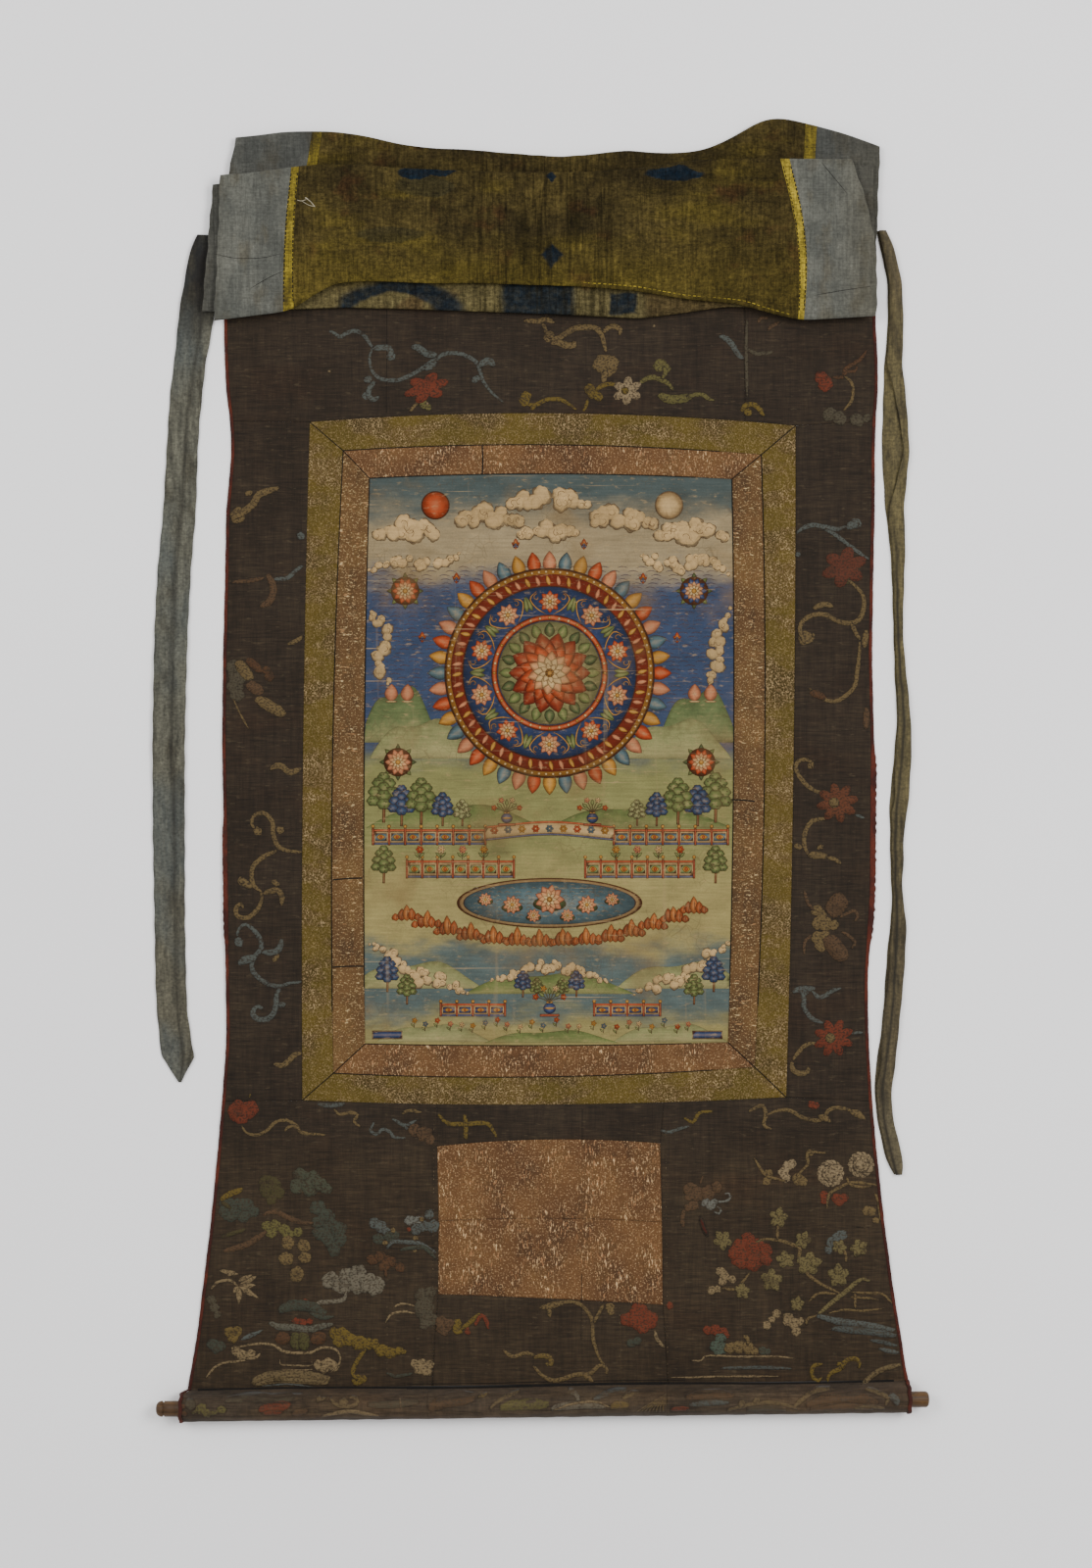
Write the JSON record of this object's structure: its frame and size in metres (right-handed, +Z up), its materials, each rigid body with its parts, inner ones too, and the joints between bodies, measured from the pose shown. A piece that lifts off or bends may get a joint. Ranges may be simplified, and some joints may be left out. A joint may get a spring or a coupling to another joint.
{
  "type": "thangka scroll painting",
  "caption": "Painted scroll in mitred silk borders and a dark brocade mount, with a gathered cloth veil at the top, side ribbons and a turned wooden roller in a sleeve at the foot.",
  "frame": {"origin": "on the surface the scroll lies on, below the middle of its outline", "axes": "+X across the scroll to the right of the picture, +Y towards its top edge, +Z up from the surface out of the painted face"},
  "size_m": [0.8689, 1.4542, 0.0289],
  "materials": {
    "canvas_paint": "matte painted cotton",
    "inner_silk": "red-brown silk with gold flecks",
    "outer_silk": "old gold silk with pale flecks",
    "dark_silk": "ribbed dark brown silk with woven motifs",
    "piping": "worn red cotton",
    "veil_olive": "thin olive silk with tied-and-dyed marks",
    "veil_grey": "plain grey silk",
    "veil_yellow": "plain yellow silk",
    "wood": "turned and rubbed",
    "ribbon_grey": "faded grey silk",
    "ribbon_olive": "faded olive silk"
  },
  "bodies": {
    "root": {"painting_canvas": "canvas_paint", "inner_border_top": "inner_silk", "inner_border_bottom": "inner_silk", "inner_border_left": "inner_silk", "inner_border_right": "inner_silk", "outer_border_top": "outer_silk", "outer_border_bottom": "outer_silk", "outer_border_left": "outer_silk", "outer_border_right": "outer_silk", "mount_top_left": "dark_silk", "mount_top_right": "dark_silk", "mount_side_left": "dark_silk", "mount_side_right": "dark_silk", "mount_bottom_left": "dark_silk", "mount_bottom_right": "dark_silk", "mount_band_centre": "dark_silk", "door_upper": "inner_silk", "door_lower": "inner_silk", "mount_bottom_centre": "dark_silk", "piping_left": "piping", "piping_right": "piping", "roller_rod": "wood", "veil_border_left": "veil_grey", "veil_stripe_left": "veil_yellow", "veil_centre": "veil_olive", "veil_stripe_right": "veil_yellow", "veil_border_right": "veil_grey", "ribbon_left": "ribbon_grey", "ribbon_right": "ribbon_olive"}
  },
  "joints": []
}
